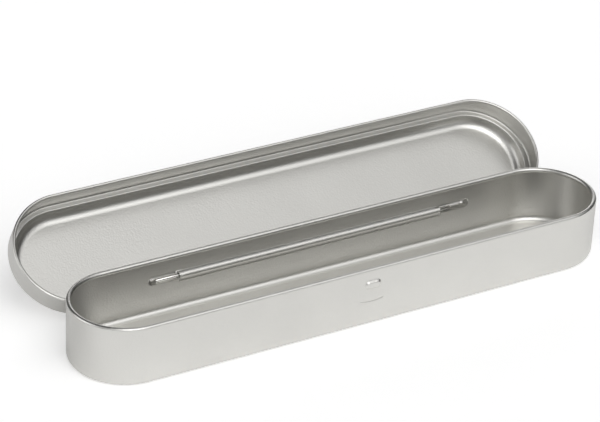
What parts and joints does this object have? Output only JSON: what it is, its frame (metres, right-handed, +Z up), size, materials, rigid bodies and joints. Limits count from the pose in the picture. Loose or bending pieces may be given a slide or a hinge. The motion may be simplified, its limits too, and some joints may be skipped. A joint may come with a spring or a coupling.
{
  "type": "pencil tin",
  "caption": "Long shallow metal tin with round ends: a drawn tray and a stepped lid that swings on a wire hinge along the rear wall and snaps shut over a bump.",
  "frame": {"origin": "centre of the ring that the tray stands on, on the resting plane", "axes": "+X along the tin, +Y from the front towards the hinge, +Z up; the lid stands open at rest"},
  "size_m": [0.1992, 0.077, 0.0315],
  "materials": {
    "tray_tinplate": "satin tinplate, bare",
    "lid_tinplate": "satin tinplate, bare",
    "wire_steel": "bright drawn wire"
  },
  "bodies": {
    "tray": {"tray": "tray_tinplate"},
    "lid": {"lid": "lid_tinplate", "hinge_wire": "wire_steel"}
  },
  "joints": [
    {"name": "lid_hinge", "type": "hinge", "parent": "tray", "child": "lid", "pos_m": [0, 0.0192, 0.0119], "axis": [1, 0, 0], "range_deg": [0, 148]}
  ]
}
